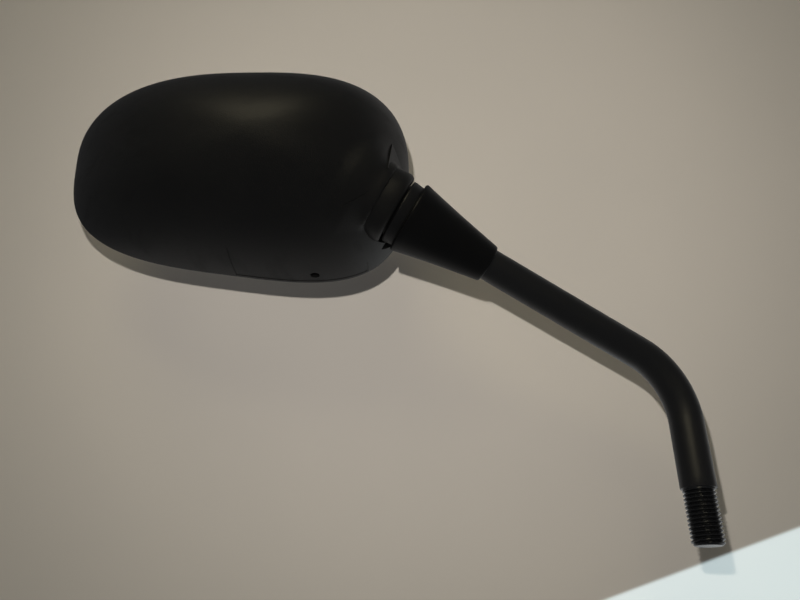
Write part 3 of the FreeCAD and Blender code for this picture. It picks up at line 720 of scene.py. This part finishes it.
def thread_ring(height):
    """A ring of the thread: each seat's radius follows the helix."""

    def place_of(seat):
        turn = seat / STEM_SEATS
        phase = (height / THREAD_PITCH - turn) % 1.0
        from_crest = abs(phase - 0.5) * THREAD_PITCH
        flank = (from_crest - CREST_HALF) / (THREAD_PITCH / 2 - CREST_HALF - ROOT_HALF)
        cut = THREAD_DEPTH * min(1.0, max(0.0, flank))
        run_out = min(1.0, max(0.0, -height / RUN_OUT))
        radius = THREAD_RADIUS - cut * run_out
        radius = min(radius, THREAD_RADIUS - CHAMFER + (height + THREAD_LENGTH) * CHAMFER_SLOPE)
        angle = 2 * math.pi * turn
        return Vector((radius * math.cos(angle), radius * math.sin(angle), height))

    return place_of


def path_ring(radius, along, bend_share=None):
    """A ring across the stem: up the straight, part of the way round the bend, or out along the arm."""
    if bend_share is None and along <= straight_end:
        centre, lean = Vector((0, 0, along)), 0.0
    elif bend_share is not None:
        lean = BEND_ANGLE * bend_share
        corner = Vector((BEND_RADIUS, 0, straight_end))
        centre = corner + Vector((-math.cos(lean), 0, math.sin(lean))) * BEND_RADIUS
    else:
        lean = BEND_ANGLE
        centre = Vector((0, 0, LOWER_STEM)) + Vector((math.sin(lean), 0, math.cos(lean))) * along
    across = Vector((math.cos(lean), 0, -math.sin(lean)))

    def place_of(seat):
        angle = 2 * math.pi * seat / STEM_SEATS
        return centre + across * (radius * math.cos(angle)) + Vector((0, radius * math.sin(angle), 0))

    return place_of


stem_rings = [path_ring(POINT, -THREAD_LENGTH), path_ring(2.2, -THREAD_LENGTH)]
for row in range(THREAD_ROWS + 1):
    stem_rings.append(thread_ring(-THREAD_LENGTH + THREAD_LENGTH * row / THREAD_ROWS - 0.001))
for drop, along in ((0.25, 0.0), (0.06, 0.1), (0.0, 0.3)):
    stem_rings.append(path_ring(ROD_RADIUS - drop, along))
for step in range(1, 7):
    stem_rings.append(path_ring(ROD_RADIUS, straight_end * step / 7))
for step in range(29):
    stem_rings.append(path_ring(ROD_RADIUS, 0, bend_share=step / 28))
arm_start = BEND_RADIUS * math.tan(BEND_ANGLE / 2)
for step in range(1, 12):
    stem_rings.append(path_ring(ROD_RADIUS, arm_start + (CLIP_LOW - arm_start) * step / 12))
for radius, along in (
    (ROD_RADIUS, CLIP_LOW),
    (ROD_RADIUS - CLIP_GROOVE, CLIP_LOW),
    (ROD_RADIUS - CLIP_GROOVE, CLIP_HIGH),
    (ROD_RADIUS, CLIP_HIGH),
    (ROD_RADIUS, SHOULDER - 0.4),
    (ROD_RADIUS - 0.4, SHOULDER),
    (SPIGOT_RADIUS, SHOULDER),
    (SPIGOT_RADIUS, SPIGOT_END),
    (POINT, SPIGOT_END),
):
    stem_rings.append(path_ring(radius, along))
bent_stem = ring_stack("bent_stem", stem_rings, STEM_SEATS)
settle(bent_stem, stem_place)
smooth(bent_stem, 40)
count_faces(bent_stem)
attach(bent_stem, "stem")
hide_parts("stem_rod")

# %% [markdown]
# ## Glass and its rubber
# The mirror is a sheet bent to a sphere of 1.2 m. Its front is a fine grid of rings, because a reflection
# shows every flat spot. The rubber is a channel that grips the edge: its lip rests on the front of the
# glass, so its height is read from the same sphere.
# %% Mirror glass
GLASS_RADIUS = 1200.0
GLASS_FRONT = 0.5
GLASS_THICK = 2.0
GLASS_INSET = 3.6
GASKET_DEPTH = 3.6
GLASS_SHARE = GASKET_DEPTH / (HEAD_DEPTH - WALL)


def glass_ring(inset, lift, spread=1.0, sheet_height=GLASS_FRONT):
    """The glass outline, drawn towards its middle by spread, on the sphere and lifted off it."""
    rule = outline_ring(inset, 0.0, GLASS_SHARE)

    def place_of(seat):
        point = rule(seat)
        x, y = point.x * spread, point.y * spread
        bowl = GLASS_RADIUS - math.sqrt(GLASS_RADIUS**2 - x * x - y * y)
        return Vector((x, y, sheet_height + bowl + lift))

    return place_of


front_rings = [glass_ring(GLASS_INSET, 0, max(0.000001, step / 28)) for step in range(28)]
edge_rings = [
    glass_ring(GLASS_INSET + 0.25, 0),
    glass_ring(GLASS_INSET + 0.07, 0.08),
    glass_ring(GLASS_INSET, 0.25),
    glass_ring(GLASS_INSET, GLASS_THICK - 0.25),
    glass_ring(GLASS_INSET + 0.25, GLASS_THICK),
]
back_rings = [glass_ring(GLASS_INSET, GLASS_THICK, max(0.000001, 1 - step / 10)) for step in range(1, 11)]
convex_mirror = ring_stack("convex_mirror", front_rings + edge_rings + back_rings, RIM_SEATS)
settle(convex_mirror, head_place)
smooth(convex_mirror, 30)
count_faces(convex_mirror)
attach(convex_mirror, "head")
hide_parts("mirror_glass")

# %% Rubber channel
LIP_INSET = GLASS_INSET + 1.8
RUBBER_FRONT = 0.2


def flat_ring(inset, height):
    return outline_ring(inset, height, GLASS_SHARE)


gasket_rings = [
    outline_ring(WALL + 0.05, GASKET_DEPTH, GLASS_SHARE),
    outline_ring(WALL + 0.05, RUBBER_FRONT + 0.5, 0.03),
    outline_ring(WALL + 0.15, RUBBER_FRONT + 0.15, 0.02),
    outline_ring(WALL + 0.5, RUBBER_FRONT, 0.02),
    flat_ring(LIP_INSET - 1.1, RUBBER_FRONT + 0.05),
    flat_ring(LIP_INSET - 0.5, RUBBER_FRONT + 0.2),
    glass_ring(LIP_INSET - 0.1, -0.22),
    glass_ring(LIP_INSET, -0.08),
    glass_ring(LIP_INSET, -0.02),
    glass_ring(GLASS_INSET - 0.02, -0.02),
    glass_ring(GLASS_INSET - 0.02, GLASS_THICK + 0.02),
    glass_ring(LIP_INSET, GLASS_THICK + 0.02),
    glass_ring(LIP_INSET, GLASS_THICK + 0.15),
    flat_ring(GLASS_INSET, GASKET_DEPTH + 0.6),
]
glass_rubber = ring_stack("glass_rubber", gasket_rings, RIM_SEATS)
settle(glass_rubber, head_place)
smooth(glass_rubber, 40)
count_faces(glass_rubber)
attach(glass_rubber, "head")
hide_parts("glass_gasket")

# %% [markdown]
# ## Shared effects for the finishes
# Most finishes here are black, and black plastic only looks real when its gloss and its skin vary. Two node
# groups do that. One is a moulded grain: fine noise that gives a height for a Bump node, and a mask. The
# other is handling: broad soft patches that change colour and roughness a little, and sparse specks of
# dust. Each material places them with its own values. Painting textures would tie the finish to one unwrap;
# noise on object coordinates does not.
# %% Node group: moulded grain


def new_group(name, inputs, outputs):
    """An empty shader node group with named sockets."""
    group = bpy.data.node_groups.new(name, "ShaderNodeTree")
    for label, default in inputs:
        socket = group.interface.new_socket(label, in_out="INPUT", socket_type="NodeSocketFloat")
        socket.default_value = default
    for label, kind in outputs:
        group.interface.new_socket(label, in_out="OUTPUT", socket_type=kind)
    way_in = group.nodes.new("NodeGroupInput")
    way_out = group.nodes.new("NodeGroupOutput")
    return group, way_in, way_out


def add_math(tree, operation, first, second=None, third=None):
    """A Math node; each argument is a socket or a number."""
    node = tree.nodes.new("ShaderNodeMath")
    node.operation = operation
    for index, value in enumerate((first, second, third)):
        if value is None:
            continue
        if isinstance(value, bpy.types.NodeSocket):
            tree.links.new(value, node.inputs[index])
        else:
            node.inputs[index].default_value = value
    return node.outputs[0]


def add_noise(tree, vector, scale, detail=2.0, roughness=0.5):
    node = tree.nodes.new("ShaderNodeTexNoise")
    tree.links.new(vector, node.inputs["Vector"])
    if isinstance(scale, bpy.types.NodeSocket):
        tree.links.new(scale, node.inputs["Scale"])
    else:
        node.inputs["Scale"].default_value = scale
    node.inputs["Detail"].default_value = detail
    node.inputs["Roughness"].default_value = roughness
    return node.outputs["Fac"]


def add_range(tree, value, low, high, new_low=0.0, new_high=1.0):
    """A smooth Map Range."""
    node = tree.nodes.new("ShaderNodeMapRange")
    node.interpolation_type = "SMOOTHSTEP"
    tree.links.new(value, node.inputs["Value"])
    limits = {"From Min": low, "From Max": high, "To Min": new_low, "To Max": new_high}
    for label, number in limits.items():
        if isinstance(number, bpy.types.NodeSocket):
            tree.links.new(number, node.inputs[label])
        else:
            node.inputs[label].default_value = number
    return node.outputs["Result"]


grain, grain_in, grain_out = new_group(
    "moulded_grain",
    [("Scale", 2600.0), ("Coarse", 0.4)],
    [("Height", "NodeSocketFloat"), ("Mask", "NodeSocketFloat")],
)
grain_place = grain.nodes.new("ShaderNodeTexCoord").outputs["Object"]
fine = add_noise(grain, grain_place, grain_in.outputs["Scale"], 3.0, 0.55)
broad_scale = add_math(grain, "MULTIPLY", grain_in.outputs["Scale"], 0.3)
broad = add_noise(grain, grain_place, broad_scale, 2.0, 0.5)
broad_part = add_math(grain, "MULTIPLY", broad, grain_in.outputs["Coarse"])
grain.links.new(add_math(grain, "ADD", fine, broad_part), grain_out.inputs["Height"])
grain.links.new(add_range(grain, fine, 0.38, 0.62), grain_out.inputs["Mask"])

# %% Node group: handling and dust
handling, handling_in, handling_out = new_group(
    "handling",
    [("Patch Scale", 35.0), ("Dust Amount", 0.5)],
    [("Patches", "NodeSocketFloat"), ("Dust", "NodeSocketFloat"), ("Smears", "NodeSocketFloat")],
)
handling_place = handling.nodes.new("ShaderNodeTexCoord").outputs["Object"]
patches = add_noise(handling, handling_place, handling_in.outputs["Patch Scale"], 4.0, 0.6)
handling.links.new(add_range(handling, patches, 0.3, 0.7), handling_out.inputs["Patches"])
specks = handling.nodes.new("ShaderNodeTexVoronoi")
specks.inputs["Scale"].default_value = 420.0
handling.links.new(handling_place, specks.inputs["Vector"])
dot = add_range(handling, specks.outputs["Distance"], 0.07, 0.02)
chosen = handling.nodes.new("ShaderNodeSeparateColor")
handling.links.new(specks.outputs["Color"], chosen.inputs["Color"])
rare = add_range(handling, chosen.outputs["Red"], 0.95, 0.985)
specked = add_math(handling, "MULTIPLY", dot, rare)
handling.links.new(
    add_math(handling, "MULTIPLY", specked, handling_in.outputs["Dust Amount"]), handling_out.inputs["Dust"]
)
stretch = handling.nodes.new("ShaderNodeMapping")
stretch.inputs["Scale"].default_value = (1.0, 0.35, 2.2)
stretch.inputs["Rotation"].default_value = (0.3, 0.5, 0.2)
handling.links.new(handling_place, stretch.inputs["Vector"])
smears = add_noise(handling, stretch.outputs["Vector"], 90.0, 3.0, 0.6)
handling.links.new(add_range(handling, smears, 0.45, 0.75), handling_out.inputs["Smears"])

# %% [markdown]
# ## Finishes
# Each finish is a Principled shader with plain values set on its own sockets. The groups only steer colour,
# roughness and bump. The shell is fine-textured ABS with a soft, broad gloss. The sleeve is smoother, the
# stem has a satin coating, and the thread is bare of it.
# %% Building a finish


def group_in(tree, group, **values):
    node = tree.nodes.new("ShaderNodeGroup")
    node.node_tree = group
    for label, value in values.items():
        node.inputs[label.replace("_", " ")].default_value = value
    return node


def mix_color(tree, factor, first, second):
    node = tree.nodes.new("ShaderNodeMix")
    node.data_type = "RGBA"
    tree.links.new(factor, node.inputs["Factor"])
    for index, value in ((6, first), (7, second)):
        if isinstance(value, bpy.types.NodeSocket):
            tree.links.new(value, node.inputs[index])
        else:
            node.inputs[index].default_value = (*value, 1.0)
    return node.outputs[2]


def new_finish(name, **values):
    """A material with a Principled shader; values are set on its sockets by name."""
    material = bpy.data.materials.new(name)
    material.use_nodes = True
    shader = material.node_tree.nodes["Principled BSDF"]
    for label, value in values.items():
        shader.inputs[label.replace("_", " ")].default_value = value
    return material, material.node_tree, shader


DUST_COLOR = (0.5, 0.48, 0.44)
PATCH_SCALE = 35.0


def textured(name, dark, light, rough, rough_swing, grain_scale, bump, dust=0.0, coarse=0.4, **values):
    """A finish with grain, patches of handling and dust."""
    material, tree, shader = new_finish(name, **values)
    skin = group_in(tree, grain, Scale=grain_scale, Coarse=coarse)
    wear = group_in(tree, handling, Patch_Scale=PATCH_SCALE, Dust_Amount=dust)
    color = mix_color(tree, wear.outputs["Patches"], dark, light)
    if dust:
        color = mix_color(tree, wear.outputs["Dust"], color, DUST_COLOR)
    tree.links.new(color, shader.inputs["Base Color"])
    swing = add_range(tree, wear.outputs["Smears"], 0.0, 1.0, rough - rough_swing, rough + rough_swing)
    fine_swing = add_math(tree, "MULTIPLY_ADD", skin.outputs["Mask"], 0.06, swing)
    tree.links.new(fine_swing, shader.inputs["Roughness"])
    relief = tree.nodes.new("ShaderNodeBump")
    relief.inputs["Strength"].default_value = 1.0
    relief.inputs["Distance"].default_value = bump
    tree.links.new(skin.outputs["Height"], relief.inputs["Height"])
    tree.links.new(relief.outputs["Normal"], shader.inputs["Normal"])
    return material


def dress(piece, material):
    piece.data.materials.clear()
    piece.data.materials.append(material)


# %% Finishes of the outer pieces
# Each call gives the darker and the lighter colour, the roughness and its swing, the grain's scale and its
# height.
shell_finish = textured(
    "textured_abs", (0.0062, 0.0061, 0.0058), (0.0085, 0.0083, 0.0077), 0.47, 0.04, 3000.0, 0.00004,
    dust=0.12, Specular_IOR_Level=0.45,
)
ring_finish = textured(
    "glass_filled_nylon", (0.004, 0.004, 0.004), (0.006, 0.006, 0.006), 0.46, 0.05, 2400.0, 0.00002,
    dust=0.1,
)
sleeve_finish = textured(
    "satin_polypropylene", (0.0025, 0.0025, 0.0025), (0.0035, 0.0035, 0.0035), 0.42, 0.05, 2000.0,
    0.000012, dust=0.08, Specular_IOR_Level=0.3,
)
stem_finish = textured(
    "satin_black_coating", (0.0028, 0.0027, 0.0026), (0.004, 0.0039, 0.0037), 0.42, 0.05, 1500.0, 0.000012,
    dust=0.08, Specular_IOR_Level=0.95,
)
rubber_finish = textured(
    "matt_black_rubber", (0.006, 0.006, 0.006), (0.011, 0.011, 0.0105), 0.72, 0.05, 1800.0, 0.00002,
    dust=0.15,
)

# The thread, below the start of the coating, is bare metal.
tree = stem_finish.node_tree
shader = tree.nodes["Principled BSDF"]
stem_coord = tree.nodes.new("ShaderNodeTexCoord").outputs["Object"]
stem_split = tree.nodes.new("ShaderNodeSeparateXYZ")
tree.links.new(stem_coord, stem_split.inputs["Vector"])
bare = add_range(tree, stem_split.outputs["Z"], 0.0004, -0.0004)
coated_color = shader.inputs["Base Color"].links[0].from_socket
coated_rough = shader.inputs["Roughness"].links[0].from_socket
tree.links.new(mix_color(tree, bare, coated_color, (0.05, 0.051, 0.054)), shader.inputs["Base Color"])
tree.links.new(add_math(tree, "MULTIPLY_ADD", bare, -0.2, coated_rough), shader.inputs["Roughness"])
tree.links.new(add_math(tree, "MULTIPLY", bare, 0.85), shader.inputs["Metallic"])
for piece, material in (
    (shell, shell_finish),
    (neck_ring, ring_finish),
    (seal_ring, rubber_finish),
    (cone_cover, sleeve_finish),
    (bent_stem, stem_finish),
    (glass_rubber, rubber_finish),
):
    dress(piece, material)

# %% Mirror
SILVER = (0.86, 0.88, 0.885)
mirror_finish, tree, shader = new_finish(
    "silvered_glass", Metallic=1.0, Base_Color=(*SILVER, 1.0), Coat_Weight=0.6, Coat_Roughness=0.02
)
wipes = group_in(tree, handling, Patch_Scale=60.0, Dust_Amount=0.5)
tree.links.new(add_range(tree, wipes.outputs["Smears"], 0.0, 1.0, 0.015, 0.045), shader.inputs["Roughness"])
dusty_silver = mix_color(tree, wipes.outputs["Dust"], SILVER, (0.7, 0.69, 0.66))
tree.links.new(dusty_silver, shader.inputs["Base Color"])
dress(convex_mirror, mirror_finish)

# %% Finishes of the inner parts
acetal = textured("natural_acetal", (0.62, 0.61, 0.57), (0.72, 0.71, 0.67), 0.38, 0.05, 900.0, 0.00001)
spring_steel = textured(
    "blued_spring_steel", (0.16, 0.155, 0.16), (0.24, 0.22, 0.21), 0.34, 0.08, 1600.0, 0.00001,
    Metallic=1.0,
)
ground_steel = textured(
    "ground_steel", (0.48, 0.48, 0.47), (0.6, 0.6, 0.59), 0.24, 0.06, 2600.0, 0.000008, Metallic=1.0
)
zinc = textured(
    "zinc_plated_steel", (0.5, 0.5, 0.47), (0.66, 0.65, 0.6), 0.3, 0.08, 1900.0, 0.00001, Metallic=1.0
)
carrier_finish = textured(
    "dark_polypropylene", (0.03, 0.03, 0.032), (0.045, 0.045, 0.047), 0.5, 0.05, 1200.0, 0.00002
)
foam_finish = textured(
    "white_foam", (0.62, 0.62, 0.58), (0.74, 0.74, 0.7), 0.9, 0.03, 1100.0, 0.0001, coarse=1.0
)
INNER = {
    "sleeve_bush": acetal,
    "sleeve_clip": spring_steel,
    "sleeve_o_ring": rubber_finish,
    "pivot_ball": ground_steel,
    "ball_roll_pin": spring_steel,
    "ball_liner_back": acetal,
    "ball_liner_front": acetal,
    "pressure_cup": acetal,
    "disc_springs": spring_steel,
    "spring_washer": ground_steel,
    "adjuster_plug": ring_finish,
    "carrier_plate": carrier_finish,
    "carrier_screws": zinc,
    "foam_pad": foam_finish,
}
for node_name, material in INNER.items():
    slots_of_node = nodes[node_name].material_slots
    for slot in slots_of_node:
        slot.material = material
    if not slots_of_node:
        nodes[node_name].data.materials.append(material)

# %% [markdown]
# ## Table, light and camera
# The mirror lies face down, so the table is a plane parallel to the rim. It stands a little below the
# glass, which leaves room for the head to tilt and turn. It shows only from its front and only to the
# camera, so views of the glass from the other side see past it.
# %% Table
table_normal = (head_turn @ Vector((0, 0, 1))).normalized()
TABLE_LEVEL = -52.0
bpy.ops.object.select_all(action="DESELECT")
bpy.ops.mesh.primitive_plane_add(size=6.0)
table = bpy.context.active_object
table.name = "table"
table.matrix_world = Matrix.Translation(table_normal * TABLE_LEVEL * MM) @ head_turn
table_finish, tree, shader = new_finish("pale_table", Roughness=0.75, Specular_IOR_Level=0.25)
table_coord = tree.nodes.new("ShaderNodeTexCoord").outputs["Object"]
mottle = add_range(tree, add_noise(tree, table_coord, 9.0, 3.0, 0.5), 0.3, 0.7)
paper = mix_color(tree, mottle, (0.78, 0.73, 0.665), (0.81, 0.755, 0.685))
# Painted shade: the table's colour darkens from a bright middle out towards the corners, standing in for
# light that falls off there.
from_middle = tree.nodes.new("ShaderNodeVectorMath")
from_middle.operation = "DISTANCE"
from_middle.inputs[1].default_value = (-0.09, 0.1, 0.0)
tree.links.new(table_coord, from_middle.inputs[0])
painted_corner_shade = add_range(tree, from_middle.outputs["Value"], 0.08, 0.26)
paper = mix_color(tree, painted_corner_shade, paper, (0.5, 0.475, 0.43))
tree.links.new(paper, shader.inputs["Base Color"])
# Painted light: past a straight edge the table glows with a cool emission, standing in for the pool of
# sunlight in that corner.
across_patch = tree.nodes.new("ShaderNodeVectorMath")
across_patch.operation = "DOT_PRODUCT"
across_patch.inputs[1].default_value = (0.385, -0.923, 0.0)
tree.links.new(table_coord, across_patch.inputs[0])
sunlit = add_range(tree, across_patch.outputs["Value"], 0.0385, 0.0405)
shader.inputs["Emission Color"].default_value = (0.78, 0.96, 1.0, 1.0)
tree.links.new(add_math(tree, "MULTIPLY", sunlit, 0.54), shader.inputs["Emission Strength"])
clear = tree.nodes.new("ShaderNodeBsdfTransparent")
chooser = tree.nodes.new("ShaderNodeMixShader")
facing = tree.nodes.new("ShaderNodeNewGeometry")
tree.links.new(facing.outputs["Backfacing"], chooser.inputs["Fac"])
tree.links.new(shader.outputs["BSDF"], chooser.inputs[1])
tree.links.new(clear.outputs["BSDF"], chooser.inputs[2])
tree.links.new(chooser.outputs["Shader"], tree.nodes["Material Output"].inputs["Surface"])
dress(table, table_finish)
table.visible_diffuse = False
table.visible_glossy = False
table.visible_transmission = False
table.visible_shadow = False

# %% Camera
scene = bpy.context.scene
scene.view_settings.view_transform = "Standard"
CAMERA_PLACE = Vector((93.73, 210.52, -40.08))
CAMERA_RIGHT = Vector((-0.99986, 0.0, 0.0170))
CAMERA_DOWN = Vector((-0.0152, -0.4473, -0.8943))
camera_data = bpy.data.cameras.new("main_camera")
camera_data.sensor_width = 36.0
camera_data.lens = 29.25
camera_data.clip_start = 0.005
camera_data.clip_end = 50.0
camera = bpy.data.objects.new("main_camera", camera_data)
scene.collection.objects.link(camera)
camera_up = -CAMERA_DOWN.normalized()
camera_right = CAMERA_RIGHT.normalized()
camera_back = camera_right.cross(camera_up).normalized()
camera_axes = Matrix((camera_right, camera_back.cross(camera_right), camera_back)).transposed()
camera.matrix_world = Matrix.Translation(CAMERA_PLACE * MM) @ camera_axes.to_4x4()
scene.camera = camera

# %% [markdown]
# A window light from the upper left gives the soft highlight on the dome. A lamp nearly along the view
# lights the table and draws the faint shadow close to the lower right of each part. It is left out of
# reflections, which would otherwise show a second highlight. A wide lamp from below stands for the light
# that a pale table throws back on the black sides, and a small cool lamp for the glow of the sunlit corner.
# A pale world fills the rest.
# %% Lights
head_middle = head_place @ Vector((0, 0, 20))
light_axes = head_turn.to_3x3()


def add_light(name, direction, distance, size, power, color, target=head_middle):
    """An area light that looks at the head from a direction given in the head's place."""
    data = bpy.data.lights.new(name, "AREA")
    data.shape = "SQUARE"
    data.size = size
    data.energy = power
    data.color = color
    light = bpy.data.objects.new(name, data)
    scene.collection.objects.link(light)
    way = (light_axes @ Vector(direction)).normalized()
    facing = way.to_track_quat("Z", "Y").to_matrix().to_4x4()
    light.matrix_world = Matrix.Translation(target + way * distance) @ facing
    return light


add_light("window", (-0.17, 0.75, 0.64), 1.3, 0.6, 2.6, (1.0, 0.9, 0.62))
VIEW_MIDDLE = Vector((60, -36, -37))
ROOM_LEFT = 15
ROOM_UP = 40
view_middle = head_place @ VIEW_MIDDLE
room_place = (CAMERA_PLACE - CAMERA_RIGHT * ROOM_LEFT - CAMERA_DOWN * ROOM_UP) * MM
room_way = light_axes.inverted() @ (room_place - view_middle)
room = add_light("room", room_way, room_way.length, 0.004, 3.9, (1.0, 0.96, 0.9), view_middle)
room.visible_glossy = False
room.data.use_nodes = True
lamp_tree = room.data.node_tree
fall = lamp_tree.nodes.new("ShaderNodeLightFalloff")
fall.inputs["Strength"].default_value = 1.0
lamp_tree.links.new(fall.outputs["Constant"], lamp_tree.nodes["Emission"].inputs["Strength"])
add_light("bounce", (0.4, -0.2, -1.0), 0.5, 2.0, 2.3, (1.0, 0.95, 0.88)).visible_camera = False
add_light("patch", (0.75, -0.48, -0.5), 0.26, 0.2, 0.03, (0.88, 0.97, 1.0)).visible_camera = False
world = bpy.data.worlds.new("room_light")
scene.world = world
world.use_nodes = True
background = world.node_tree.nodes["Background"]
background.inputs["Color"].default_value = (0.78, 0.79, 0.82, 1.0)
background.inputs["Strength"].default_value = 0.09
